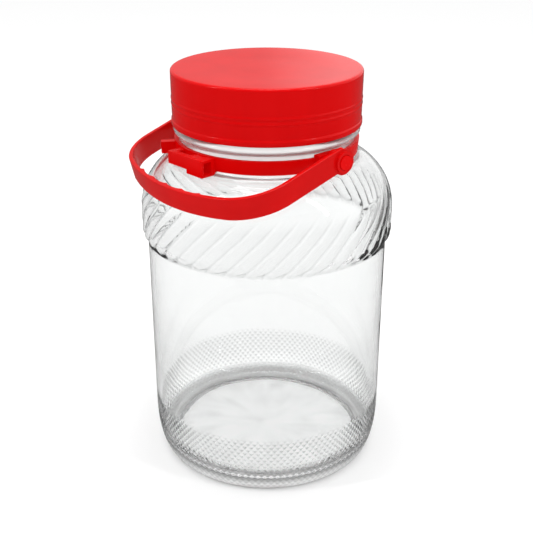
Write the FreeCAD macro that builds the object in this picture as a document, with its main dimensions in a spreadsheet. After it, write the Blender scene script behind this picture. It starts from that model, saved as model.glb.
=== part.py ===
import FreeCAD, Part
import Sketcher
import math
import os

# Storage jar of clear glass with a red screw lid, a red neck band and a red
# bail handle.  Millimetres.  Z is up and the jar stands on z = 0; the handle's
# pivot axis is parallel to X and the lowered handle points along -Y.

doc = FreeCAD.newDocument("glass_jar_with_handle")
sheet = doc.addObject("Spreadsheet::Sheet", "sizes")

SIZES = [
    # glass jar
    ("body_radius", 85.1, "outer radius of the plain wall"),
    ("shoulder_height", 230.9, "floor to the root of the neck"),
    ("shoulder_radius", 41.0, "radius of the round shoulder"),
    ("band_drop", 57.7, "neck root down to the lower step of the fluted band"),
    ("flute_stand", 3.7, "how far the flutes stand out of the plain wall"),
    ("flute_depth", 2.5, "depth of the valleys between the flutes"),
    ("flute_count", 42, "number of flutes"),
    ("flute_phase", 1.8, "degrees from the pivot axis to a valley at the lower step"),
    ("flute_turn", 571.0, "height in which a flute would go once round"),
    ("flute_fade", 17.0, "height over which the flutes fade into the shoulder"),
    ("step_round", 2.2, "rounding under the fluted band"),
    ("bearing_inset", 9.0, "plain wall in to the ring the jar stands on"),
    ("heel_height", 10.5, "height of the rounded heel"),
    ("heel_radius", 13.0, "radius of the rounded heel"),
    ("punt_inset", 14.1, "that ring in to the raised middle of the base"),
    ("punt_height", 3.0, "height of the raised middle of the base"),
    ("wall", 3.8, "thickness of the plain wall"),
    ("floor_thickness", 6.5, "glass between the punt and the inside floor"),
    ("floor_corner", 12.0, "inside rounding between floor and wall"),
    ("band_wall", 4.6, "glass behind the crests of the flutes"),
    ("neck_radius", 60.8, "outer radius of the neck"),
    ("neck_wall", 5.0, "thickness of the neck"),
    ("neck_length", 13.6, "neck root to the underside of the bead"),
    ("bead_height", 6.5, "height of the glass bead below the lid"),
    ("bead_stand", 3.4, "how far the glass bead stands out of the neck"),
    ("finish_height", 34.0, "glass above the bead, inside the lid"),
    ("finish_inset", 0.4, "neck in to the outside of the glass inside the lid"),
    # lid
    ("lid_gap", 0.4, "between the glass bead and the lid's lower edge"),
    ("lid_seal_gap", 0.2, "between the glass rim and the lid's ceiling"),
    ("lid_top_thickness", 3.2, "thickness of the lid's top"),
    ("lid_fit", 1.95, "between the glass inside the lid and the lid's skirt"),
    ("lid_draft", 0.35, "how much the skirt draws in towards its lower edge"),
    ("lid_wall", 2.4, "thickness of the lid's skirt"),
    ("lid_edge_round", 1.6, "rounding of the top edge of the lid"),
    ("rim_bead_height", 4.1, "height of the bead along the lid's lower edge"),
    ("rim_bead_stand", 0.6, "how far that bead stands out"),
    ("ring_low", 13.8, "lower edge of the lid to the pair of rings"),
    ("ring_pitch", 3.6, "distance between the two rings"),
    ("ring_width", 1.3, "width of one ring"),
    ("ring_stand", 0.35, "how far a ring stands out"),
    # neck band
    ("collar_fit", 0.3, "between the neck and the inside of the band"),
    ("collar_gap", 1.5, "neck root to the lower edge of the band"),
    ("collar_height", 9.3, "height of the band"),
    ("collar_thickness", 2.6, "thickness of the band at its top"),
    ("collar_draft", 0.9, "how much the band draws in towards its lower edge"),
    ("ear_width", 24.0, "width of the flat ear at each pivot"),
    ("ear_rise", 2.2, "how far an ear stands up above the band"),
    ("ear_drop", 0.7, "how far an ear reaches below the band"),
    ("ear_stand", 3.1, "how far an ear stands out of the band"),
    ("post_diameter", 12.5, "diameter of the post that holds the handle off"),
    ("peg_diameter", 7.0, "diameter of the pivot peg"),
    ("button_diameter", 9.6, "diameter of the button on the peg"),
    ("button_thickness", 1.7, "thickness of that button"),
    ("clasp_turn", 4.0, "degrees from the front to the parting of the clasp"),
    ("socket_width", 15.4, "length of the clasp's socket along the band"),
    ("socket_stand", 8.7, "how far the socket stands out of the band"),
    ("socket_height", 11.2, "height of the socket"),
    ("socket_drop", 2.5, "how far the socket reaches below the band"),
    ("socket_skin", 1.6, "wall round the recess in the socket's end"),
    ("socket_hole_depth", 7.0, "depth of that recess"),
    ("tongue_width", 19.5, "length of the clasp's tongue"),
    ("tongue_stand", 7.3, "how far the tongue stands out of the band"),
    ("tongue_height", 8.4, "height of the tongue"),
    ("tongue_drop", 0.4, "how far the tongue reaches below the band"),
    ("tongue_root", 6.0, "length of the web that carries the tongue"),
    ("tongue_thickness", 4.2, "thickness of the tongue"),
    ("clasp_gap", 0.8, "parting between the tongue and the socket"),
    ("clasp_sink", 5.7, "how deep the clasp is set into the band"),
    ("lug_turn", -30.0, "degrees from the front to the stop lug"),
    ("lug_width", 5.0, "width of the stop lug"),
    ("lug_stand", 9.3, "how far the stop lug stands out of the band"),
    ("lug_height", 8.2, "height of the stop lug"),
    # handle
    ("pivot_rise", 7.6, "lower edge of the band to the pivot axis"),
    ("handle_lean", 3.0, "how far the soft grip has set to one side"),
    ("handle_drop", 15.0, "degrees the lowered handle hangs below level"),
    ("arm_clear", 10.9, "lid to the outside of an arm"),
    ("arm_inboard", 13.0, "most that an arm stays inside the fluted band's radius"),
    ("strap_thickness", 2.9, "thickness of the strap"),
    ("strap_width", 15.3, "width of the strap"),
    ("strap_offset", 2.0, "pivot axis to the middle of the strap's width"),
    ("strap_round", 0.7, "rounding along the strap's edges"),
    ("arm_tail", 1.5, "length of an arm beyond its pivot"),
    ("grip_clear", 0.42, "between the lowered grip and the round shoulder"),
    ("swing_clear", 3.0, "between the grip and the lid as the handle swings over"),
    ("grip_radius", 143.8, "outside radius of the grip"),
    ("corner_radius", 36.8, "outside radius of the two corners"),
    ("corner_inset", 2.2, "how far the corners draw in from the arms"),
    ("finger_stand", 1.5, "height of the ridges between the fingers"),
    ("finger_width", 12.0, "width of those ridges, down from the strap's upper edge"),
    ("finger_pitch", 15.6, "distance between two finger hollows"),
    ("finger_radius", 20.0, "radius of a finger hollow"),
    ("eye_diameter", 17.0, "diameter of the disc round a pivot"),
    ("eye_stand", 0.35, "how far that disc stands out on both sides of the strap"),
    ("eye_ring", 14.2, "outer diameter of the raised ring"),
    ("eye_ring_stand", 1.5, "how far that ring stands out"),
    ("peg_fit", 0.08, "radial clearance of the peg in its hole"),
    ("button_fit", 0.45, "radial clearance of the button in the ring"),
    ("side_play", 0.75, "clearance between post, strap and button"),
]


class Dim:
    """A length that keeps its number together with its spreadsheet formula."""

    def __init__(self, number, text):
        self.number = float(number)
        self.text = text

    def __add__(self, other):
        b = dim(other)
        return Dim(self.number + b.number, "(%s + %s)" % (self.text, b.text))

    def __radd__(self, other):
        return dim(other) + self

    def __sub__(self, other):
        b = dim(other)
        return Dim(self.number - b.number, "(%s - %s)" % (self.text, b.text))

    def __rsub__(self, other):
        return dim(other) - self

    def __mul__(self, other):
        b = dim(other)
        return Dim(self.number * b.number, "(%s * %s)" % (self.text, b.text))

    def __rmul__(self, other):
        return dim(other) * self

    def __truediv__(self, other):
        b = dim(other)
        return Dim(self.number / b.number, "(%s / %s)" % (self.text, b.text))

    def __neg__(self):
        return Dim(-self.number, "(0 - %s)" % self.text)


def dim(value):
    if isinstance(value, Dim):
        return value
    return Dim(value, "%.9f" % value)


def root(value):
    return Dim(math.sqrt(value.number), "sqrt(%s)" % value.text)


def sine(degrees):
    return Dim(math.sin(math.radians(degrees.number)), "sin(%s * 1deg)" % degrees.text)


def cosine(degrees):
    return Dim(math.cos(math.radians(degrees.number)), "cos(%s * 1deg)" % degrees.text)


def larger(a, b):
    return Dim(max(a.number, b.number), "max(%s; %s)" % (a.text, b.text))


for row, (name, value, note) in enumerate(SIZES, start=1):
    sheet.set("A%d" % row, name)
    sheet.set("B%d" % row, str(value))
    sheet.set("C%d" % row, note)
    sheet.setAlias("B%d" % row, name)
doc.recompute()

size = {}
for name, value, note in SIZES:
    size[name] = Dim(value, "sizes.%s" % name)


def bind(obj, prop, value):
    obj.setExpression(prop, dim(value).text)


def new_body(label):
    body = doc.addObject("PartDesign::Body", label)
    body.Label = label
    return body


def plane_of(body, role):
    for feature in body.Origin.OriginFeatures:
        if feature.Role == role:
            return feature
    raise RuntimeError("no plane " + role)


def new_sketch(body, name, role, offset=None, turn=None):
    sketch = body.newObject("Sketcher::SketchObject", name)
    sketch.AttachmentSupport = [(plane_of(body, role), "")]
    sketch.MapMode = "FlatFace"
    if offset is not None:
        bind(sketch, ".AttachmentOffset.Base.z", offset)
    if turn is not None:
        bind(sketch, ".AttachmentOffset.Rotation.Angle", turn)
    return sketch


def pin_point(sketch, geo, pos, x, y, tag):
    """Holds one point of a sketch at (x, y) from the sketch's origin."""
    x = dim(x)
    y = dim(y)
    if abs(x.number) < 1e-9 and "sizes" not in x.text:
        sketch.addConstraint(Sketcher.Constraint("PointOnObject", geo, pos, -2))
    else:
        i = sketch.addConstraint(Sketcher.Constraint("DistanceX", -1, 1, geo, pos, x.number))
        sketch.renameConstraint(i, "x_" + tag)
        sketch.setExpression("Constraints.x_" + tag, x.text)
    if abs(y.number) < 1e-9 and "sizes" not in y.text:
        sketch.addConstraint(Sketcher.Constraint("PointOnObject", geo, pos, -1))
    else:
        i = sketch.addConstraint(Sketcher.Constraint("DistanceY", -1, 1, geo, pos, y.number))
        sketch.renameConstraint(i, "y_" + tag)
        sketch.setExpression("Constraints.y_" + tag, y.text)


def outline(sketch, points, arcs=None, tag="p"):
    """A closed outline.  arcs maps a side's number to (radius, side), where
    side is +1 for a centre to the left of the way the side runs."""
    arcs = arcs or {}
    count = len(points)
    first = sketch.GeometryCount
    for i in range(count):
        ax, ay = [dim(v).number for v in points[i]]
        bx, by = [dim(v).number for v in points[(i + 1) % count]]
        a = FreeCAD.Vector(ax, ay, 0)
        b = FreeCAD.Vector(bx, by, 0)
        if i in arcs:
            radius, side = arcs[i]
            chord = b.sub(a)
            half = chord.Length / 2.0
            rise = math.sqrt(radius.number ** 2 - half ** 2)
            left = FreeCAD.Vector(-chord.y, chord.x, 0).normalize()
            centre = a + chord * 0.5 + left * (side * rise)
            from_a = math.atan2(a.y - centre.y, a.x - centre.x)
            from_b = math.atan2(b.y - centre.y, b.x - centre.x)
            whole = Part.Circle(centre, FreeCAD.Vector(0, 0, 1), radius.number)
            if side < 0:
                from_a, from_b = from_b, from_a
            if from_b < from_a:
                from_b += 2.0 * math.pi
            sketch.addGeometry(Part.ArcOfCircle(whole, from_a, from_b), False)
        else:
            sketch.addGeometry(Part.LineSegment(a, b), False)
    ends = []
    for i in range(count):
        if i in arcs and arcs[i][1] < 0:
            ends.append((2, 1))
        else:
            ends.append((1, 2))
    for i in range(count):
        j = (i + 1) % count
        sketch.addConstraint(Sketcher.Constraint(
            "Coincident", first + i, ends[i][1], first + j, ends[j][0]))
    for i in range(count):
        pin_point(sketch, first + i, ends[i][0], points[i][0], points[i][1],
                  "%s%d" % (tag, i))
    for i in arcs:
        k = sketch.addConstraint(Sketcher.Constraint(
            "Radius", first + i, arcs[i][0].number))
        sketch.renameConstraint(k, "r_%s%d" % (tag, i))
        sketch.setExpression("Constraints.r_%s%d" % (tag, i), arcs[i][0].text)


def circle(sketch, x, y, diameter, tag):
    """A full circle held by its centre and its diameter."""
    diameter = dim(diameter)
    centre = FreeCAD.Vector(dim(x).number, dim(y).number, 0)
    axis = FreeCAD.Vector(0, 0, 1)
    geo = sketch.addGeometry(Part.Circle(centre, axis, diameter.number / 2.0), False)
    pin_point(sketch, geo, 3, x, y, tag)
    i = sketch.addConstraint(Sketcher.Constraint("Diameter", geo, diameter.number))
    sketch.renameConstraint(i, "d_" + tag)
    sketch.setExpression("Constraints.d_" + tag, diameter.text)


def spin(body, kind, name, sketch):
    feature = body.newObject("PartDesign::" + kind, name)
    feature.Profile = sketch
    feature.ReferenceAxis = (sketch, ["V_Axis"])
    feature.Angle = 360.0
    body.Tip = feature
    doc.recompute()
    return feature


def pad(body, name, sketch, length, both=False, reverse=False):
    feature = body.newObject("PartDesign::Pad", name)
    feature.Profile = sketch
    bind(feature, "Length", length)
    feature.Midplane = both
    feature.Reversed = reverse
    body.Tip = feature
    doc.recompute()
    return feature


def pocket(body, name, sketch, length, both=False, reverse=False):
    feature = body.newObject("PartDesign::Pocket", name)
    feature.Profile = sketch
    bind(feature, "Length", length)
    feature.Midplane = both
    feature.Reversed = reverse
    body.Tip = feature
    doc.recompute()
    return feature


def box(x0, x1, y0, y1):
    return [(x0, y0), (x1, y0), (x1, y1), (x0, y1)]


# heights and radii that several pieces share
band_radius = size["body_radius"] + size["flute_stand"]
band_start = size["shoulder_height"] - size["band_drop"]
arc_centre = band_radius - size["shoulder_radius"]
neck_from_arc = size["neck_radius"] - arc_centre
shoulder_start = size["shoulder_height"] - root(
    size["shoulder_radius"] * size["shoulder_radius"] - neck_from_arc * neck_from_arc)
bead_low = size["shoulder_height"] + size["neck_length"]
bead_high = bead_low + size["bead_height"]
bead_radius = size["neck_radius"] + size["bead_stand"]
finish_radius = size["neck_radius"] - size["finish_inset"]
rim_height = bead_high + size["finish_height"]
lid_low = bead_high + size["lid_gap"]
ceiling = rim_height + size["lid_seal_gap"]
lid_high = ceiling + size["lid_top_thickness"]
lid_radius = finish_radius + size["lid_fit"] + size["lid_wall"] + size["lid_draft"]
collar_low = size["shoulder_height"] + size["collar_gap"]
collar_high = collar_low + size["collar_height"]
collar_bore = size["neck_radius"] + size["collar_fit"]
collar_radius = collar_bore + size["collar_thickness"]
pivot_height = collar_low + size["pivot_rise"]
clasp_inner = collar_radius - size["clasp_sink"]
arm_reach = larger(lid_radius + size["arm_clear"], band_radius - size["arm_inboard"])
arm_inside = arm_reach - size["strap_thickness"]
eye_inside = arm_inside - size["eye_stand"]
eye_outside = arm_reach + size["eye_stand"]
post_end = eye_inside - size["side_play"]
button_start = eye_outside + size["side_play"] * 0.5

# ---------------------------------------------------------------- glass jar
def shoulder_radius_at(height):
    """Outer radius of the round shoulder at a height."""
    above = height - shoulder_start
    return arc_centre + root(
        size["shoulder_radius"] * size["shoulder_radius"] - above * above)


flute_top = shoulder_start + size["flute_fade"]
flute_top_radius = shoulder_radius_at(flute_top)
core_radius = flute_top_radius - 4.0

bearing_radius = size["body_radius"] - size["bearing_inset"]
punt_radius = bearing_radius - size["punt_inset"]

blank = new_body("jar_blank")
profile = new_sketch(blank, "jar_outside", "XZ_Plane")
half_bead = size["bead_height"] * 0.5
outline(profile, [
    (0, size["punt_height"]),
    (punt_radius, size["punt_height"]),
    (bearing_radius - 4.0, 0),
    (bearing_radius, 0),
    (size["body_radius"], size["heel_height"]),
    (size["body_radius"], band_start),
    (core_radius, band_start),
    (core_radius, flute_top),
    (flute_top_radius, flute_top),
    (size["neck_radius"], size["shoulder_height"]),
    (size["neck_radius"], bead_low),
    (bead_radius, bead_low + half_bead * 0.7),
    (bead_radius, bead_low + half_bead * 1.3),
    (finish_radius, bead_high),
    (finish_radius, rim_height),
    (0, rim_height),
], {3: (size["heel_radius"], 1), 8: (size["shoulder_radius"], 1)})
spin(blank, "Revolution", "jar_turned", profile)


def lobed_wire(height, crest, valley, turn):
    """A closed wire of round lobes, one for each flute."""
    count = int(size["flute_count"].number)
    step = 2.0 * math.pi / count
    start = math.radians(turn + size["flute_phase"].number)
    arcs = []
    for k in range(count):
        ends = []
        for angle, radius in ((k * step, valley), ((k + 0.5) * step, crest), ((k + 1) * step, valley)):
            ends.append(FreeCAD.Vector(radius * math.cos(start + angle),
                                       radius * math.sin(start + angle), height))
        arcs.append(Part.Arc(*ends).toShape())
    return Part.Wire(arcs)


# The leaning flutes are a loft through lobed wires, which no sketch feature
# makes; every height and radius comes from the same sizes as the turned glass.
low = band_start.number
round_low = size["step_round"].number
straight = shoulder_start.number
fade = size["flute_fade"].number
depth = size["flute_depth"].number
sections = [
    (low, -round_low, 0.45),
    (low + 0.45 * round_low, -0.45 * round_low, 0.75),
    (low + 1.1 * round_low, -0.1 * round_low, 0.95),
    (low + 0.5 * (straight - low), 0.0, 1.0),
    (straight, 0.0, 1.0),
    (straight + 0.45 * fade, 0.0, 0.95),
    (straight + 0.75 * fade, 0.0, 0.6),
    (straight + 0.95 * fade, -0.05, 0.2),
    (straight + fade, -0.1, 0.05),
]
wires = []
for height, swell, share in sections:
    above = max(height - straight, 0.0)
    crest = arc_centre.number + math.sqrt(size["shoulder_radius"].number ** 2 - above ** 2) + swell
    turn = 360.0 * (height - low) / size["flute_turn"].number
    wires.append(lobed_wire(height, crest, crest - depth * share, turn))
band = doc.addObject("Part::Feature", "fluted_band")
band.Shape = Part.makeLoft(wires, True, False)
doc.recompute()

cavity_radius = size["body_radius"] - size["wall"]
inside_floor = size["punt_height"] + size["floor_thickness"]
inner_arc = size["shoulder_radius"] - size["band_wall"]
mouth_radius = size["neck_radius"] - size["neck_wall"]
mouth_from_arc = mouth_radius - arc_centre
inner_shoulder_end = shoulder_start + root(
    inner_arc * inner_arc - mouth_from_arc * mouth_from_arc)
band_cavity = arc_centre + inner_arc
cavity = new_body("jar_inside")
inside = new_sketch(cavity, "jar_inside_profile", "XZ_Plane")
outline(inside, [
    (0, inside_floor),
    (cavity_radius - size["floor_corner"], inside_floor),
    (cavity_radius, inside_floor + size["floor_corner"]),
    (cavity_radius, band_start - 6.0),
    (band_cavity, band_start + 5.0),
    (band_cavity, shoulder_start),
    (mouth_radius, inner_shoulder_end),
    (mouth_radius, rim_height + 1.0),
    (0, rim_height + 1.0),
], {1: (size["floor_corner"], 1), 5: (inner_arc, 1)})
spin(cavity, "Revolution", "jar_inside_turned", inside)

form = doc.addObject("Part::MultiFuse", "jar_form")
form.Shapes = [blank, band]
jar = doc.addObject("Part::Cut", "jar")
jar.Base = form
jar.Tool = cavity
jar.Label = "jar"
doc.recompute()

# ---------------------------------------------------------------------- lid
lid = new_body("lid")
lid_foot = lid_radius - size["lid_draft"]
bead_foot = lid_foot + size["rim_bead_stand"]
bead_top = lid_low + size["rim_bead_height"]
lid_bore = lid_foot - size["lid_wall"]
skirt = new_sketch(lid, "lid_profile", "XZ_Plane")
outline(skirt, [
    (0, ceiling),
    (lid_bore, ceiling),
    (lid_bore, lid_low),
    (bead_foot, lid_low),
    (bead_foot, bead_top - 0.4),
    (lid_foot, bead_top),
    (lid_radius, lid_high - size["lid_edge_round"]),
    (lid_radius - size["lid_edge_round"], lid_high),
    (0, lid_high),
], {6: (size["lid_edge_round"], 1)})
spin(lid, "Revolution", "lid_turned", skirt)
rings = new_sketch(lid, "ring_profile", "XZ_Plane")
for k in (0, 1):
    ring_low = lid_low + size["ring_low"] + size["ring_pitch"] * k
    outline(rings, [
        (lid_foot - 1.0, ring_low),
        (lid_radius + size["ring_stand"] - size["lid_draft"] * 0.5, ring_low),
        (lid_radius + size["ring_stand"] - size["lid_draft"] * 0.5,
         ring_low + size["ring_width"]),
        (lid_foot - 1.0, ring_low + size["ring_width"]),
    ], tag="k%d_" % k)
spin(lid, "Revolution", "lid_rings", rings)

# ---------------------------------------------------------------- neck band
collar = new_body("neck_band")
hoop = new_sketch(collar, "hoop_profile", "XZ_Plane")
outline(hoop, [
    (collar_bore, collar_low),
    (collar_radius - size["collar_draft"], collar_low),
    (collar_radius, collar_high),
    (collar_bore, collar_high),
])
spin(collar, "Revolution", "hoop", hoop)

ear_low = collar_low - size["ear_drop"]
ear_high = collar_high + size["ear_rise"]
ear_face = collar_radius + size["ear_stand"]
half_ear = size["ear_width"] * 0.5
sides = (("right", 1.0), ("left", -1.0))
for side, sign in sides:
    ear = new_sketch(collar, "ear_" + side, "YZ_Plane", collar_bore * sign)
    outline(ear, box(-half_ear, half_ear, ear_low, ear_high))
    pad(collar, "ear_pad_" + side, ear, ear_face - collar_bore, reverse=sign < 0)
    post = new_sketch(collar, "post_" + side, "YZ_Plane", (ear_face - 1.0) * sign)
    circle(post, 0, pivot_height, size["post_diameter"], "c")
    pad(collar, "post_pad_" + side, post, post_end - ear_face + 1.0, reverse=sign < 0)
    peg = new_sketch(collar, "peg_" + side, "YZ_Plane", (post_end - 1.0) * sign)
    circle(peg, 0, pivot_height, size["peg_diameter"], "c")
    pad(collar, "peg_pad_" + side, peg, button_start - post_end + 2.0, reverse=sign < 0)
    knob = new_sketch(collar, "button_" + side, "YZ_Plane", button_start * sign)
    circle(knob, 0, pivot_height, size["button_diameter"], "c")
    pad(collar, "button_pad_" + side, knob, size["button_thickness"], reverse=sign < 0)

socket_reach = collar_radius + size["socket_stand"]
socket = new_sketch(collar, "socket", "XY_Plane", collar_low - size["socket_drop"],
                    size["clasp_turn"])
outline(socket, box(0, size["socket_width"], -socket_reach, -clasp_inner))
pad(collar, "socket_pad", socket, size["socket_height"])
tongue = new_sketch(collar, "tongue", "XY_Plane", collar_low - size["tongue_drop"],
                    size["clasp_turn"])
tongue_start = -(size["tongue_width"] + size["clasp_gap"])
web_end = tongue_start + size["tongue_root"]
tongue_reach = collar_radius + size["tongue_stand"]
tongue_back = -(tongue_reach - size["tongue_thickness"])
outline(tongue, [
    (tongue_start, -tongue_reach),
    (-size["clasp_gap"], -tongue_reach),
    (-size["clasp_gap"], tongue_back),
    (web_end, tongue_back),
    (web_end, -clasp_inner + 3.0),
    (tongue_start, -clasp_inner + 3.0),
])
pad(collar, "tongue_pad", tongue, size["tongue_height"])
lug = new_sketch(collar, "lug", "XY_Plane", collar_low - 0.2, size["lug_turn"])
half_lug = size["lug_width"] * 0.5
outline(lug, box(-half_lug, half_lug, -(collar_radius + size["lug_stand"]), -clasp_inner))
pad(collar, "lug_pad", lug, size["lug_height"])

# the recess in the socket's end, on the side away from the tongue
skin = size["socket_skin"]
mouth = new_sketch(collar, "socket_mouth", "XY_Plane",
                   collar_low - size["socket_drop"] + skin, size["clasp_turn"])
outline(mouth, box(size["socket_width"] - size["socket_hole_depth"],
                   size["socket_width"] + 1.0,
                   skin - socket_reach, -(collar_radius + 0.6)))
pocket(collar, "socket_mouth_cut", mouth, size["socket_height"] - skin * 2.0, reverse=True)

# the clasp, lug and ears are cut back to clear the neck and the round shoulder
clear_arc = size["shoulder_radius"] + size["collar_fit"]
bore_from_arc = collar_bore - arc_centre
neck_bore = new_sketch(collar, "neck_bore", "XZ_Plane")
outline(neck_bore, [
    (0, shoulder_start),
    (arc_centre + clear_arc, shoulder_start),
    (collar_bore, shoulder_start + root(clear_arc * clear_arc - bore_from_arc * bore_from_arc)),
    (collar_bore, collar_high + 20.0),
    (0, collar_high + 20.0),
], {1: (clear_arc, 1)})
spin(collar, "Groove", "neck_bore_cut", neck_bore)

# ------------------------------------------------------------------- handle
handle = new_body("handle")
lean = size["handle_lean"]
half_strap = size["strap_width"] * 0.5
corner_offset = arm_reach - size["corner_radius"] - size["corner_inset"]
lid_above = lid_high - pivot_height
lid_corner = root(lid_above * lid_above + lid_radius * lid_radius)
grip_depth = size["strap_thickness"] + size["finger_stand"]


def reach_past_shoulder(inset, below):
    """Grip reach at which a line inset from the grip's outside, and below the
    pivot plane, just clears the shoulder while the handle hangs at its drop."""
    sin_drop = sine(size["handle_drop"])
    cos_drop = cosine(size["handle_drop"])
    out = dim(0.0) - below * sin_drop - arc_centre
    up = pivot_height - below * cos_drop - shoulder_start
    along = out * cos_drop - up * sin_drop
    clear = size["shoulder_radius"] + size["grip_clear"]
    return root(along * along + clear * clear - out * out - up * up) - along + inset


swing_reach = lid_corner + grip_depth + size["swing_clear"]
strap_reach = reach_past_shoulder(size["strap_thickness"], half_strap - size["strap_offset"])
finger_middle = (size["strap_offset"] + (size["strap_width"] - size["finger_width"]) * 0.5
                 - size["strap_round"])
ridge_reach = reach_past_shoulder(grip_depth, size["finger_width"] * 0.5 - finger_middle)
grip_reach = larger(larger(strap_reach, ridge_reach), swing_reach)
grip_centre = grip_reach - size["grip_radius"]
corner_from_grip = size["grip_radius"] - size["corner_radius"]
corner_down = grip_centre + root(
    corner_from_grip * corner_from_grip - corner_offset * corner_offset)


def touch_point(sign, radius, reach):
    """Where a straight arm from (reach, tail) touches the corner's circle."""
    cx = corner_offset.number * sign + lean.number
    cy = -corner_down.number
    px = reach.number * sign
    py = size["arm_tail"].number
    dx = px - cx
    dy = py - cy
    gap = math.hypot(dx, dy)
    swing = math.acos(radius.number / gap)
    angle = math.atan2(dy, dx) - sign * swing
    return cx + radius.number * math.cos(angle), cy + radius.number * math.sin(angle)


def strap_outline(sketch, inner_side):
    """The U of the handle on one face of the strap, as tangent lines and arcs."""
    inset = size["strap_thickness"] if inner_side else dim(0.0)
    reach = arm_reach - inset
    corner = size["corner_radius"] - inset
    grip = size["grip_radius"] - inset
    right = touch_point(1.0, corner, reach)
    left = touch_point(-1.0, corner, reach)
    cy = -corner_down.number
    gy = -grip_centre.number
    joint = math.atan2(cy - gy, corner_offset.number)
    up = FreeCAD.Vector(0, 0, 1)
    geo = []
    tail = size["arm_tail"].number
    geo.append(sketch.addGeometry(Part.LineSegment(
        FreeCAD.Vector(reach.number, tail, 0), FreeCAD.Vector(right[0], right[1], 0)), False))
    cx = corner_offset.number + lean.number
    start = math.atan2(right[1] - cy, right[0] - cx)
    geo.append(sketch.addGeometry(Part.ArcOfCircle(
        Part.Circle(FreeCAD.Vector(cx, cy, 0), up, corner.number), joint, start), False))
    geo.append(sketch.addGeometry(Part.ArcOfCircle(
        Part.Circle(FreeCAD.Vector(lean.number, gy, 0), up, grip.number),
        -math.pi - joint, joint), False))
    cx = lean.number - corner_offset.number
    start = math.atan2(left[1] - cy, left[0] - cx)
    geo.append(sketch.addGeometry(Part.ArcOfCircle(
        Part.Circle(FreeCAD.Vector(cx, cy, 0), up, corner.number),
        start, -math.pi - joint), False))
    geo.append(sketch.addGeometry(Part.LineSegment(
        FreeCAD.Vector(left[0], left[1], 0), FreeCAD.Vector(-reach.number, tail, 0)), False))
    add = sketch.addConstraint
    make = Sketcher.Constraint
    add(make("Tangent", geo[0], 2, geo[1], 2))
    add(make("Tangent", geo[1], 1, geo[2], 2))
    add(make("Tangent", geo[2], 1, geo[3], 2))
    add(make("Tangent", geo[3], 1, geo[4], 1))
    tag = "in" if inner_side else "out"
    pin_point(sketch, geo[1], 3, corner_offset + lean, -corner_down, tag + "_cr")
    pin_point(sketch, geo[3], 3, lean - corner_offset, -corner_down, tag + "_cl")
    pin_point(sketch, geo[0], 1, reach, size["arm_tail"], tag + "_ar")
    pin_point(sketch, geo[4], 2, -reach, size["arm_tail"], tag + "_al")
    for number, radius, name in ((1, corner, "_rr"), (3, corner, "_rl"), (2, grip, "_rg")):
        i = add(make("Radius", geo[number], radius.number))
        sketch.renameConstraint(i, tag + name)
        sketch.setExpression("Constraints." + tag + name, radius.text)
    return geo


strap = new_sketch(handle, "strap_outline", "XY_Plane", size["strap_offset"])
outside = strap_outline(strap, False)
inside_line = strap_outline(strap, True)
for a_end, b_end, pos in ((outside[0], inside_line[0], 1), (outside[4], inside_line[4], 2)):
    a = strap.getPoint(a_end, pos)
    b = strap.getPoint(b_end, pos)
    end = strap.addGeometry(Part.LineSegment(a, b), False)
    strap.addConstraint(Sketcher.Constraint("Coincident", end, 1, a_end, pos))
    strap.addConstraint(Sketcher.Constraint("Coincident", end, 2, b_end, pos))
doc.recompute()
strap_pad = pad(handle, "strap", strap, size["strap_width"], both=True)

long_edges = []
for number, edge in enumerate(strap_pad.Shape.Edges, start=1):
    box_of = edge.BoundBox
    flat = box_of.ZLength < 1e-6
    if flat and edge.Length > size["strap_thickness"].number * 1.5:
        long_edges.append("Edge%d" % number)
soften = handle.newObject("PartDesign::Fillet", "strap_edges")
soften.Base = (strap_pad, long_edges)
bind(soften, "Radius", size["strap_round"])
handle.Tip = soften
doc.recompute()


def grip_point(across, depth):
    """A point that lies depth inside the outer line of the grip."""
    radius = size["grip_radius"] - depth
    down = grip_centre + root(radius * radius - across * across)
    return (across + lean, -down)


ridge_points = [grip_point(size["finger_pitch"] * -2.3, size["strap_thickness"] * 0.6)]
for k in (-2, -1, 0, 1, 2):
    ridge_points.append(grip_point(size["finger_pitch"] * k, grip_depth))
ridge_points.append(grip_point(size["finger_pitch"] * 2.3, size["strap_thickness"] * 0.6))
fingers = new_sketch(handle, "finger_ridges", "XY_Plane", finger_middle)
hollow = (size["finger_radius"], 1)
behind = (size["grip_radius"] - size["strap_thickness"] * 0.6, -1)
outline(fingers, ridge_points, {1: hollow, 2: hollow, 3: hollow, 4: hollow, 6: behind})
pad(handle, "finger_pad", fingers, size["finger_width"], both=True)

eye_thickness = eye_outside - eye_inside
for side, sign in sides:
    eye = new_sketch(handle, "eye_" + side, "YZ_Plane", eye_inside * sign)
    circle(eye, 0, 0, size["eye_diameter"], "c")
    pad(handle, "eye_pad_" + side, eye, eye_thickness, reverse=sign < 0)
    ring = new_sketch(handle, "eye_ring_" + side, "YZ_Plane", (eye_outside - 1.0) * sign)
    circle(ring, 0, 0, size["eye_ring"], "c")
    pad(handle, "eye_ring_pad_" + side, ring, size["eye_ring_stand"] + 1.0, reverse=sign < 0)
    seat = new_sketch(handle, "button_seat_" + side, "YZ_Plane", eye_outside * sign)
    circle(seat, 0, 0, size["button_diameter"] + size["button_fit"] * 2.0, "c")
    pocket(handle, "button_seat_cut_" + side, seat, size["eye_ring_stand"] + 1.0,
           reverse=sign > 0)
    bore = new_sketch(handle, "peg_hole_" + side, "YZ_Plane", (eye_inside - 2.0) * sign)
    circle(bore, 0, 0, size["peg_diameter"] + size["peg_fit"] * 2.0, "c")
    pocket(handle, "peg_hole_cut_" + side, bore, eye_thickness + 6.0, reverse=sign > 0)
handle.Placement = FreeCAD.Placement(
    FreeCAD.Vector(0, 0, pivot_height.number),
    FreeCAD.Rotation(FreeCAD.Vector(1, 0, 0), size["handle_drop"].number))
bind(handle, ".Placement.Base.z", pivot_height)
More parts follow.
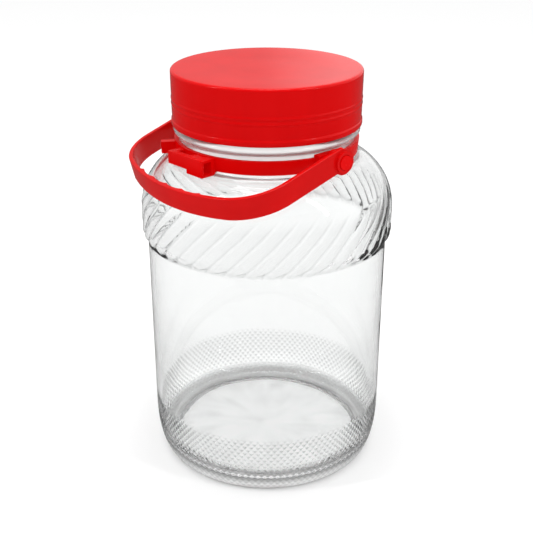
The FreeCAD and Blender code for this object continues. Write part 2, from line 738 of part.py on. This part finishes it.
bind(handle, ".Placement.Rotation.Angle", size["handle_drop"])
doc.recompute()

# ------------------------------------------------------------------- export
for obj in doc.Objects:
    if "Invalid" in obj.State or "Error" in obj.State:
        raise RuntimeError("%s did not build: %s" % (obj.Name, obj.State))
pieces = (jar, lid, collar, handle)
for piece in pieces:
    shape = piece.Shape
    if shape.isNull() or not shape.isValid() or len(shape.Solids) != 1:
        raise RuntimeError("%s is not one valid solid" % piece.Label)
os.makedirs("parts", exist_ok=True)
for piece in pieces:
    piece.Shape.exportStep("parts/%s.step" % piece.Label)
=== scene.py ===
import bpy
import math
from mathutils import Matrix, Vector, noise


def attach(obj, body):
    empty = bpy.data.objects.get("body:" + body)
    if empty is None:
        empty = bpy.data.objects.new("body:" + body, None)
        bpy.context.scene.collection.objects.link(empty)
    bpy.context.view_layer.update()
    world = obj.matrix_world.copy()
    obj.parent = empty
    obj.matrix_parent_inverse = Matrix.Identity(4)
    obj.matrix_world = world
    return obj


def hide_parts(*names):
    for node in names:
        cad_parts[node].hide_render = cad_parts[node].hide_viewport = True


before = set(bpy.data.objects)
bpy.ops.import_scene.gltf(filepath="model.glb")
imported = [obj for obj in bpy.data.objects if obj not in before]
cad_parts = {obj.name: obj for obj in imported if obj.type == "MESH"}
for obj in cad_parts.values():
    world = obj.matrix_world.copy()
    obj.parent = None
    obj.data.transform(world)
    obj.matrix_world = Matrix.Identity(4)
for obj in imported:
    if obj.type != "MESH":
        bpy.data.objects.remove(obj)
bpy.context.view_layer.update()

MM = 0.001
TURN = 2.0 * math.pi

# The jar's own sizes in mm; heights are above the table, "_IN" is the inner wall.
BODY = 85.1  # radius of the plain wall
BAND = 88.8  # radius over the crests of the fluted band
NECK = 60.8
ARC = 41.0  # radius of the round shoulder, seen from the side
ARC_R = BAND - ARC  # its centre's distance from the axis
ROOT = 230.9  # where the shoulder meets the neck
STRAIGHT = ROOT - math.sqrt(ARC ** 2 - (NECK - ARC_R) ** 2)  # where the shoulder begins
STEP = ROOT - 57.7  # lower end of the fluted band
HEEL = 34.0  # the wall curves in below this height
HEEL_IN = 9.0  # by this much
UNDERSIDE = 4.2  # the raised middle, from below

BODY_IN = 81.3
BAND_IN = 84.2
ARC_IN = 36.4
BORE = 55.8
MOUTH = 285.0
BORE_TOP = 282.8
BORE_LOW = 228.8
STEP_IN_TOP = 178.2
STEP_IN_LOW = 167.2
CORNER_TOP = 27.0  # the corner round the inner floor: a quarter ellipse
CORNER_HIGH = 19.0
CORNER_WIDE = 14.3
FLOOR_R = 67.0
FLOOR_LOW = 8.0
FLOOR_RISE = 0.9  # the inner floor is that much higher in its middle

FLUTES = 42.0
FLUTE_START = 1.8  # degrees
FLUTE_LEAN = 0.63  # degrees a millimetre
FLUTE_DEPTH = 1.6
FLUTE_DROOP = 1.5  # how far the lower ends hang
FLUTE_FADE = 199.5  # the flutes fade out from here
FLUTE_FADE_LENGTH = 12.0

KNURLS = 114.0
KNURL_PITCH = 5.4
KNURL_HEIGHT = 0.38
KNURL_LOW = 2.0
KNURL_TOP = 48.0
KNURL_FADE = 41.0
KNURL_FADE_LENGTH = 6.5

FINE = 912  # points in a ring with relief
COARSE = 304  # points in a plain ring

LID_LOW = 251.4
LID_HIGH = 288.4
LID_WALL = 64.75
LID_TAPER = 0.35
LID_RIBS = (LID_LOW + 14.45, LID_LOW + 18.05)
LID_RIB_HALF = 1.5
LID_RIB_STAND = 0.30
LID_EDGE = 1.8  # radius of the upper edge
LID_DISH = 0.55  # how far the top's middle lies below its edge
LID_POINTS = 256

CLEAR = (0.958, 0.965, 0.963, 1.0)
BLACK = (0.0, 0.0, 0.0, 1.0)
WHITE = (1.0, 1.0, 1.0, 1.0)


def ease(t):
    t = min(max(t, 0.0), 1.0)
    return t * t * (3.0 - 2.0 * t)


def steps(first, last, count):
    """Even steps from first to last, without first itself."""
    return [first + (last - first) * k / count for k in range(1, count + 1)]


def around(count):
    return [TURN * k / count for k in range(count)]


# ---------------------------------------------------------------------- nodes
def new_material(name):
    m = bpy.data.materials.new(name)
    m.use_nodes = True
    tree = m.node_tree
    return m, tree, tree.nodes["Principled BSDF"]


def feed(tree, socket, value):
    """Sets a socket to a number, or links a node's output to it."""
    if isinstance(value, float):
        socket.default_value = value
    else:
        tree.links.new(value, socket)


def object_noise(tree, scale, detail, stretch=None, rough=0.55):
    """Noise in the object's own coordinates; stretch squeezes it along an axis."""
    out = tree.nodes.new("ShaderNodeTexCoord").outputs["Object"]
    if stretch is not None:
        mapping = tree.nodes.new("ShaderNodeMapping")
        mapping.inputs["Scale"].default_value = stretch
        feed(tree, mapping.inputs["Vector"], out)
        out = mapping.outputs["Vector"]
    tex = tree.nodes.new("ShaderNodeTexNoise")
    for socket, value in (("Scale", scale), ("Detail", detail), ("Roughness", rough),
                          ("Vector", out)):
        feed(tree, tex.inputs[socket], value)
    return tex.outputs["Fac"]


def painted(tree, name):
    """A value painted on the mesh."""
    node = tree.nodes.new("ShaderNodeAttribute")
    node.attribute_name = name
    return node.outputs["Fac"]


def ramp(tree, fac, start, start_colour, end, end_colour):
    node = tree.nodes.new("ShaderNodeValToRGB")
    stops = ((start, start_colour), (end, end_colour))
    for element, (position, colour) in zip(node.color_ramp.elements, stops):
        element.position = position
        element.color = colour
    feed(tree, node.inputs["Fac"], fac)
    return node.outputs["Color"]


def spread(tree, fac, low, high):
    node = tree.nodes.new("ShaderNodeMapRange")
    for socket, value in (("To Min", low), ("To Max", high), ("Value", fac)):
        feed(tree, node.inputs[socket], value)
    return node.outputs["Result"]


def bump(tree, shader, height, distance, strength):
    node = tree.nodes.new("ShaderNodeBump")
    for socket, value in (("Strength", strength), ("Distance", distance), ("Height", height)):
        feed(tree, node.inputs[socket], value)
    feed(tree, shader.inputs["Normal"], node.outputs["Normal"])


def number(tree, operation, a, b):
    node = tree.nodes.new("ShaderNodeMath")
    node.operation = operation
    feed(tree, node.inputs[0], a)
    feed(tree, node.inputs[1], b)
    return node.outputs[0]


def ring_fade(tree, near, far, low, high):
    """Changes smoothly with the distance from the jar's axis."""
    coords = tree.nodes.new("ShaderNodeTexCoord")
    away = tree.nodes.new("ShaderNodeVectorMath")
    away.operation = "LENGTH"
    feed(tree, away.inputs[0], coords.outputs["Object"])
    node = tree.nodes.new("ShaderNodeMapRange")
    node.interpolation_type = "SMOOTHSTEP"
    for socket, value in (("From Min", near), ("From Max", far), ("To Min", low),
                          ("To Max", high), ("Value", away.outputs["Value"])):
        feed(tree, node.inputs[socket], value)
    return node.outputs["Result"]


def pick(tree, fac, a, b):
    node = tree.nodes.new("ShaderNodeMixShader")
    for socket, value in zip(node.inputs, (fac, a, b)):
        feed(tree, socket, value)
    return node.outputs[0]


# ------------------------------------------------------------------ materials
def plastic(name, deep, light, rough, gloss, painted_glow, stretch=None):
    m, tree, s = new_material(name)
    # random mottling of the colour; on the lid, stretched upright, it also paints soft vertical
    # streaks of reflection
    mottle_and_painted_streaks = object_noise(tree, 28.0, 5.0, stretch)
    colour = ramp(tree, mottle_and_painted_streaks, 0.32, deep + (1.0,), 0.68, light + (1.0,))
    feed(tree, s.inputs["Base Color"], colour)
    smudge = object_noise(tree, 60.0, 6.0, rough=0.65)
    feed(tree, s.inputs["Roughness"], spread(tree, smudge, rough * 0.8, rough * 1.2))
    peel = object_noise(tree, 900.0, 2.0)
    bump(tree, s, peel, 0.00004, 0.25)
    s.inputs["IOR"].default_value = 1.50
    s.inputs["Specular IOR Level"].default_value = gloss
    # painted glow: the colour glows a little and so fills the shade, in place of light that passes
    # through the thin plastic
    feed(tree, s.inputs["Emission Color"], colour)
    s.inputs["Emission Strength"].default_value = painted_glow
    return m


# the lid's colour noise is stretched upright: painted streaks of reflection on its side
lid_red = plastic("lid_plastic", (0.56, 0.0004, 0.0008), (0.64, 0.0010, 0.0016),
                  rough=0.15, gloss=0.16, painted_glow=0.03, stretch=(1.0, 1.0, 0.12))
# the band and the handle glow more: painted light that fills their shade
band_red = plastic("band_plastic", (0.54, 0.0002, 0.0003), (0.60, 0.0006, 0.0008),
                   rough=0.26, gloss=0.10, painted_glow=0.24)
handle_red = plastic("handle_plastic", (0.44, 0.0008, 0.0010), (0.50, 0.0016, 0.0018),
                     rough=0.22, gloss=0.22, painted_glow=0.30)

glass, tree, s = new_material("clear_glass")
# painted shade and highlight: the glass's colour is darkened, or left clear, by a value painted on
# the mesh
feed(tree, s.inputs["Base Color"], ramp(tree, painted(tree, "painted_shade"), 0.0, BLACK, 1.0, CLEAR))
# painted light: where the painted value is high the glass turns partly matt white and reads lighter
feed(tree, s.inputs["Transmission Weight"], spread(tree, painted(tree, "painted_light"), 1.0, 0.0))
s.inputs["IOR"].default_value = 1.45
seeds = object_noise(tree, 45.0, 4.0)
feed(tree, s.inputs["Roughness"], spread(tree, seeds, 0.0, 0.02))
wave = object_noise(tree, 18.0, 3.0, stretch=(1.0, 1.0, 0.6))
bump(tree, s, wave, 0.0006, 0.10)


# --------------------------------------------------------------------- meshes
def new_object(name, verts, faces, material, smooth=True):
    """A mesh from points in metres."""
    mesh = bpy.data.meshes.new(name)
    mesh.from_pydata(verts, [], faces)
    mesh.polygons.foreach_set("use_smooth", [smooth] * len(mesh.polygons))
    mesh.update()
    mesh.materials.append(material)
    obj = bpy.data.objects.new(name, mesh)
    bpy.context.scene.collection.objects.link(obj)
    return obj


def bridge(a, b):
    """Faces from ring a to ring b; one of them may have three times the other's points."""
    (start_a, count_a), (start_b, count_b) = a, b
    if count_a == count_b:
        for k in range(count_a):
            j = (k + 1) % count_a
            yield start_a + k, start_a + j, start_b + j, start_b + k
        return
    (fine, many), (coarse, few) = (a, b) if count_a > count_b else (b, a)
    for k in range(few):
        j = (k + 1) % few
        m = 3 * k
        for face in ((fine + m, fine + m + 1, coarse + k),
                     (fine + m + 1, fine + m + 2, coarse + j, coarse + k),
                     (fine + m + 2, fine + (m + 3) % many, coarse + j)):
            yield face if count_a > count_b else face[::-1]


def shell(name, rings, ends, material):
    """A closed skin over rings of points in mm; ends are the heights that close it on the axis."""
    loops = []
    start = 0
    for ring in rings:
        loops.append((start, len(ring)))
        start += len(ring)
    faces = [face for a, b in zip(loops, loops[1:]) for face in bridge(a, b)]
    first, count = loops[0]
    faces += [(start, first + (k + 1) % count, first + k) for k in range(count)]
    last, count = loops[-1]
    faces += [(start + 1, last + k, last + (k + 1) % count) for k in range(count)]
    points = [point for ring in rings for point in ring] + [(0.0, 0.0, z) for z in ends]
    return new_object(name, [(x * MM, y * MM, z * MM) for x, y, z in points], faces, material)


# ------------------------------------------------------------------ glass jar
def from_valley(angle, z):
    """Signed distance from the nearest valley between two flutes: -1 and 1 are the crests."""
    turn = FLUTE_START + FLUTE_LEAN * (z - STEP)
    phase = (math.degrees(angle) - turn) * FLUTES / 360.0
    return (phase - round(phase)) * 2.0


def flute(angle, z):
    """Depth below the band's crest, in mm: leaning scallops."""
    t = abs(from_valley(angle, z))
    return FLUTE_DEPTH * (1.0 - math.sqrt(max(1.0 - (1.0 - t) ** 2 * 0.96, 0.0)))


def flute_fade(z):
    return 1.0 - ease((z - FLUTE_FADE) / FLUTE_FADE_LENGTH)


def knurl(angle, z):
    """Height of the small raised diamonds round the foot, from 0 to 1."""
    across = angle * KNURLS / TURN
    up = z / KNURL_PITCH
    return abs(math.sin(math.pi * (across + up))) * abs(math.sin(math.pi * (across - up)))


def knurl_band(z, low, length):
    """1 where the diamonds are, fading out above and, from low on, below."""
    return ease((z - low) / length) * (1.0 - ease((z - KNURL_FADE) / KNURL_FADE_LENGTH))


def outer_radius(z):
    if z < HEEL:
        return BODY - HEEL_IN * (1.0 - math.sqrt(1.0 - (1.0 - z / HEEL) ** 2))
    if z <= STEP:
        return BODY
    if z <= STRAIGHT:
        return BAND
    return ARC_R + math.sqrt(ARC ** 2 - (z - STRAIGHT) ** 2)


def outer_rings():
    """(height, radius, relief) from the middle of the underside over the foot to the mouth."""
    rings = [(z, r, "plain") for r, z in (
        (4.0, UNDERSIDE), (16.0, 4.15), (30.0, 4.0), (44.0, 3.7), (56.0, 3.3), (61.0, 3.1),
        (64.0, 2.95), (66.5, 2.7), (68.5, 2.2), (70.0, 1.4), (71.2, 0.5), (72.6, 0.05),
        (74.4, 0.0))]
    rings += [(z, outer_radius(z), "plain") for z in (0.0, 0.3, 0.8, 1.4)]
    z = KNURL_LOW
    while z < KNURL_TOP:
        rings.append((z, outer_radius(z), "knurl"))
        z += 0.66
    rings += [(z, BODY, "plain") for z in steps(KNURL_TOP, STEP - 4.0, 30)]
    # the soft step under the fluted band
    rings += [(STEP + dz, BODY + dr, "flute") for dz, dr in (
        (-1.5, 0.05), (-0.9, 0.25), (-0.4, 0.6), (0.1, 1.15), (0.6, 1.8), (1.1, 2.4),
        (1.7, 2.9), (2.3, 3.25), (2.9, 3.5), (3.5, 3.65))]
    z = STEP + 4.2
    while z < 212.5:
        rings.append((z, outer_radius(z), "flute"))
        z += 1.0
    z = 213.4
    while z < ROOT - 4.0:
        rings.append((z, outer_radius(z), "plain"))
        z += 0.9
    # the soft root of the neck: a curve with its corner on the shoulder's tangent
    low = ROOT - 3.5
    wide = outer_radius(low)
    corner = low + (wide - NECK) * (wide - ARC_R) / (low - STRAIGHT)
    for k in range(10):
        t = k / 9.0
        rings.append(((1 - t) ** 2 * low + 2 * t * (1 - t) * corner + t * t * (ROOT + 4.6),
                      (1 - t) ** 2 * wide + (2 * t - t * t) * NECK, "plain"))
    # the bead on the neck and the part under the lid
    rings += [(ROOT + dz, r, "plain") for dz, r in (
        (6.0, NECK), (12.0, NECK), (13.4, NECK + 0.05), (13.9, NECK + 0.4), (14.5, NECK + 1.4),
        (15.3, NECK + 2.5), (16.2, NECK + 3.2), (17.0, NECK + 3.4), (17.8, NECK + 3.3),
        (18.7, NECK + 2.6), (19.4, NECK + 1.5), (19.9, NECK + 0.5), (20.4, NECK - 0.3),
        (24.0, 60.4), (30.0, 60.4), (36.0, 60.4), (42.0, 60.4), (48.0, 60.4), (52.0, 60.4),
        (53.0, 60.1), (53.6, 59.5))]
    rings.append((MOUTH, 58.6, "plain"))
    return rings


def inner_rings():
    """(height, radius) from the mouth down to the middle of the inner floor."""
    rings = [(MOUTH, 57.4), (284.6, 56.5), (283.8, 56.0), (BORE_TOP, BORE)]
    rings += [(z, BORE) for z in steps(BORE_TOP, BORE_LOW, 14)]
    rise = math.sqrt(ARC_IN ** 2 - (BORE - ARC_R) ** 2)
    for k in range(0, 31):
        a = math.asin(rise / ARC_IN) * (1.0 - k / 30.0)
        rings.append((STRAIGHT + ARC_IN * math.sin(a), ARC_R + ARC_IN * math.cos(a)))
    rings += [(z, BAND_IN) for z in steps(STRAIGHT, STEP_IN_TOP, 8)]
    for k in range(1, 9):
        t = k / 8.0
        rings.append((STEP_IN_TOP - 11.0 * t, BAND_IN - 2.9 * ease(t)))
    rings += [(z, BODY_IN) for z in steps(STEP_IN_LOW, CORNER_TOP, 40)]
    for k in range(1, 21):
        a = math.radians(90.0 * k / 20.0)
        rings.append((CORNER_TOP - CORNER_HIGH * math.sin(a), FLOOR_R + CORNER_WIDE * math.cos(a)))
    rings += [(FLOOR_LOW + FLOOR_RISE * (1.0 - (r / FLOOR_R) ** 2), r)
              for r in (64.5, 61.0, 56.0, 50.0, 44.0, 38.0, 32.0, 26.0, 20.0, 14.0, 8.0, 3.0)]
    return rings


def painted_glass_shade(angle, z, r, relief):
    """How clear the glass is there, with painted shade and highlight: small facets, flutes and the
    base get painted darks and lights.
    """
    # the diamonds' lower facets get painted shade and their upper facets a painted highlight, both
    # weaker near the bottom
    if relief == "knurl":
        band = knurl_band(z, 1.5, 3.0)
        slope = knurl(angle, z + 0.5) - knurl(angle, z - 0.5)
        band *= 0.35 + 0.65 * ease((z - 5.0) / 14.0)
        return 1.0 - band * (0.09 + 0.74 * max(slope, 0.0) - 0.30 * min(max(-slope, 0.0), 0.30))
    # painted dark lines in the flute valleys, a painted highlight beside each line, and the lobes a
    # little grey
    if relief == "flute":
        t = from_valley(angle, z)
        line = math.exp(-(t / 0.14) ** 2)
        edge = math.exp(-((t - 0.32) / 0.16) ** 2)
        return 1.0 - (0.13 + 0.16 * line - 0.12 * edge) * flute_fade(z)
    # painted streaks of light and shade under the base
    if z < 12.0 and r < 80.0:
        a = Vector((r * math.cos(angle) / 16.0, r * math.sin(angle) / 16.0, 0.0))
        return 0.86 + 0.20 * noise.noise(a) + 0.10 * noise.noise(a * 3.1)
    return 1.0


def painted_glass_light(z, r, relief):
    """How far the glass turns matt white there: painted light that lifts the dark of the heel, the
    knurled foot and the neck, and a little on the flutes and the underside.
    """
    heel = 0.66 * (1.0 - ease((z - 6.0) / 10.0))
    if relief == "knurl":
        return heel + 0.10 * knurl_band(z, 1.5, 3.0) * (1.0 - ease((z - 10.0) / 22.0))
    if relief == "flute":
        return 0.03
    if z > ROOT - 6.0:
        return 0.30 * ease((z - ROOT + 6.0) / 8.0)
    return heel if r > 74.0 else 0.05


def surface_point(angle, z, r, relief):
    if relief == "flute":
        share = ease((z - STEP + 1.2) / 2.6)
        r -= flute(angle, z) * share * flute_fade(z)
        # the flutes' round lower ends hang a little below their valleys
        crest = (1.0 - math.cos(math.pi * from_valley(angle, z))) / 2.0
        z -= FLUTE_DROOP * crest * (1.0 - ease((z - STEP + 1.0) / 6.0))
    elif relief == "knurl":
        r -= KNURL_HEIGHT * (1.0 - knurl(angle, z)) * knurl_band(z, 2.0, 2.5)
    return (r * math.cos(angle), r * math.sin(angle), z)


def inner_point(angle, z, r):
    """The blown inner wall is a little wavy."""
    p = Vector((r * math.cos(angle), r * math.sin(angle), z))
    w = noise.noise(Vector((p.x / 34.0, p.y / 34.0, p.z / 52.0)))
    w += 0.5 * noise.noise(Vector((p.x / 15.0, p.y / 15.0, p.z / 26.0 + 7.0)))
    live = ease((z - 14.0) / 30.0) * ease((282.0 - z) / 30.0)
    rr = r + 0.16 * w * live
    return (rr * math.cos(angle), rr * math.sin(angle), z)


rings = []
painted_shades = []
painted_lights = []
for z, r, relief in outer_rings():
    angles = around(COARSE if relief == "plain" else FINE)
    rings.append([surface_point(a, z, r, relief) for a in angles])
    painted_shades += [painted_glass_shade(a, z, r, relief) for a in angles]
    painted_lights += [painted_glass_light(z, r, relief)] * len(angles)
for z, r in inner_rings():
    rings.append([inner_point(a, z, r) for a in around(COARSE)])
    painted_shades += [1.0] * COARSE
    painted_lights += [0.0] * COARSE
# the two points on the axis: the underside's and the inner floor's
painted_shades += [0.93, 1.0]
painted_lights += [0.05, 0.0]
jar = shell("glass_jar", rings, (UNDERSIDE, FLOOR_LOW + FLOOR_RISE), glass)
for name, values in (("painted_shade", painted_shades), ("painted_light", painted_lights)):
    jar.data.attributes.new(name, "FLOAT", "POINT").data.foreach_set("value", values)
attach(jar, "jar")
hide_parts("jar")


# ------------------------------------------------------------------------ lid
def lid_point(angle, r, z):
    """The moulded lid is not quite round."""
    if r > 3.0:
        way = Vector((math.cos(angle) * 2.3, math.sin(angle) * 2.3, z / 11.0))
        r += 0.06 * noise.noise(way)
    return (r * math.cos(angle), r * math.sin(angle), z)


# (radius, height) from the middle of the ceiling round the lower bead to the middle of the top
profile = [(20.0, 285.2), (50.0, 285.2), (61.6, 285.2), (62.3, 284.8), (62.3, 270.0), (62.3, 256.0)]
profile += [(r, LID_LOW + dz) for r, dz in (
    (62.4, 0.5), (62.7, 0.12), (63.3, 0.0), (64.5, 0.0), (65.05, 0.15), (65.3, 0.5), (65.35, 1.1),
    (65.35, 2.9), (65.28, 3.5), (65.05, 3.9), (64.85, 4.15), (64.76, 4.6), (64.75, 6.0))]
z = LID_LOW + 7.5
while z < LID_HIGH - 2.5:
    r = LID_WALL + LID_TAPER * (z - LID_LOW) / 37.0
    for rib in LID_RIBS:
        d = abs(z - rib)
        if d < LID_RIB_HALF:
            r += LID_RIB_STAND * (0.5 + 0.5 * math.cos(math.pi * d / LID_RIB_HALF))
    profile.append((r, z))
    z += 0.35
for k in range(0, 9):
    a = math.radians(90.0 * k / 8.0)
    profile.append((63.3 + LID_EDGE * math.cos(a), LID_HIGH - LID_EDGE + LID_EDGE * math.sin(a)))
for r in (61.5, 59.0, 55.0, 48.0, 40.0, 32.0, 24.0, 16.0, 8.0, 3.0):
    profile.append((r, LID_HIGH - LID_DISH * ease((62.5 - r) / 40.0)))
rings = [[lid_point(a, r, z) for a in around(LID_POINTS)] for r, z in profile]
lid = shell("lid_shell", rings, (profile[0][1], profile[-1][1]), lid_red)
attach(lid, "jar")
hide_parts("lid")

# ------------------------------------------------------- neck band and handle
for node, look in (("neck_band", band_red), ("handle", handle_red)):
    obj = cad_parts[node]
    for k in range(len(obj.material_slots)):
        obj.material_slots[k].material = look
    bevel = obj.modifiers.new("soft_edges", "BEVEL")
    bevel.width = 0.00035
    bevel.segments = 2
    bevel.limit_method = "ANGLE"
    bevel.angle_limit = math.radians(40.0)

# ---------------------------------------------------------------------- floor
floor_look, tree, s = new_material("studio_floor")
tree.nodes.remove(s)
matt = tree.nodes.new("ShaderNodeBsdfDiffuse")
matt.inputs["Color"].default_value = (0.77, 0.77, 0.77, 1.0)
path = tree.nodes.new("ShaderNodeLightPath")
# the camera sees the floor as pale as the background; seen through the glass, the shaded floor
# under the jar gets a painted pool of light
seen = number(tree, "MULTIPLY", path.outputs["Is Camera Ray"], 0.125)
painted_pool_under_jar = number(tree, "MULTIPLY", path.outputs["Is Transmission Ray"],
                 ring_fade(tree, 0.055, 0.150, 0.78, 0.0))
lift = tree.nodes.new("ShaderNodeEmission")
feed(tree, lift.inputs["Strength"], number(tree, "ADD", seen, painted_pool_under_jar))
plain = tree.nodes.new("ShaderNodeAddShader")
feed(tree, plain.inputs[0], matt.outputs[0])
feed(tree, plain.inputs[1], lift.outputs[0])
# the floor is darker where plastic mirrors it
mirrored = tree.nodes.new("ShaderNodeEmission")
mirrored.inputs["Strength"].default_value = 0.15
not_through = number(tree, "SUBTRACT", 1.0, path.outputs["Is Transmission Ray"])
gloss_only = number(tree, "MULTIPLY", path.outputs["Is Glossy Ray"], not_through)
feed(tree, tree.nodes["Material Output"].inputs["Surface"],
     pick(tree, gloss_only, plain.outputs[0], mirrored.outputs[0]))

FLOOR_HALF = 9.0
FLOOR_Z = -0.0002
floor_obj = new_object("studio_floor", [(x * FLOOR_HALF, y * FLOOR_HALF, FLOOR_Z)
                                        for x, y in ((-1, -1), (1, -1), (1, 1), (-1, 1))],
                       [(0, 1, 2, 3)], floor_look, smooth=False)

# ---------------------------------------------------------------------- world
world = bpy.data.worlds.new("studio")
bpy.context.scene.world = world
world.use_nodes = True
tree = world.node_tree
tree.nodes.clear()
path = tree.nodes.new("ShaderNodeLightPath")
coords = tree.nodes.new("ShaderNodeTexCoord")


def toward(way):
    """How far the sky is turned to a direction: 1 is straight at it."""
    node = tree.nodes.new("ShaderNodeVectorMath")
    node.operation = "DOT_PRODUCT"
    feed(tree, node.inputs[0], coords.outputs["Generated"])
    node.inputs[1].default_value = Vector(way).normalized()
    return node.outputs["Value"]


def sky(colour, strength):
    node = tree.nodes.new("ShaderNodeBackground")
    node.inputs["Color"].default_value = WHITE
    if colour is not None:
        feed(tree, node.inputs["Color"], colour)
    feed(tree, node.inputs["Strength"], strength)
    return node.outputs[0]


# soft light, stronger from above
soft = sky(None, spread(tree, toward((0.0, 0.0, 1.0)), 0.68, 1.28))
# gloss sees a darker room in front of the jar; the glass sees less of it
room = toward((0.70, -0.59, 0.40))
side = toward((0.64, 0.77, 0.0))
in_gloss = sky(ramp(tree, room, 0.20, WHITE, 0.75, (0.16, 0.165, 0.17, 1.0)),
               ramp(tree, side, 0.0, (0.45, 0.45, 0.45, 1.0), 0.08, WHITE))
in_glass = sky(ramp(tree, room, 0.30, WHITE, 0.85, (0.70, 0.705, 0.71, 1.0)), 1.0)
look = pick(tree, path.outputs["Is Glossy Ray"], soft, in_gloss)
look = pick(tree, path.outputs["Is Transmission Ray"], look, in_glass)
look = pick(tree, path.outputs["Is Camera Ray"], look, sky(None, 1.0))
feed(tree, tree.nodes.new("ShaderNodeOutputWorld").inputs["Surface"], look)


# --------------------------------------------------------------------- lights
def softbox(name, place, aim, width, height, watts):
    data = bpy.data.lights.new(name, "AREA")
    data.shape = "RECTANGLE"
    data.size = width
    data.size_y = height
    data.energy = watts
    obj = bpy.data.objects.new(name, data)
    obj.location = place
    obj.rotation_euler = (Vector(aim) - Vector(place)).to_track_quat("-Z", "Y").to_euler()
    bpy.context.scene.collection.objects.link(obj)


softbox("left_softbox", (-0.35, -0.95, 1.15), (0, 0, 0.25), 0.06, 0.9, 3.2)
softbox("top_softbox", (0.0, 0.0, 1.35), (0, 0, 0.0), 0.6, 0.6, 4.8)
softbox("right_softbox", (1.05, 0.35, 1.15), (0, 0, 0.25), 0.06, 0.9, 3.2)

# --------------------------------------------------------------------- camera
cam = bpy.data.cameras.new("camera")
cam.lens = 63.56
cam.sensor_width = 36.0
cam.shift_x = -0.00075
cam_obj = bpy.data.objects.new("camera", cam)
cam_obj.location = (0.4834, -0.4056, 0.4262)
cam_obj.rotation_euler = (math.radians(65.67), 0.0, math.radians(50.0))
bpy.context.scene.collection.objects.link(cam_obj)
bpy.context.scene.camera = cam_obj
bpy.context.scene.view_settings.view_transform = "Standard"
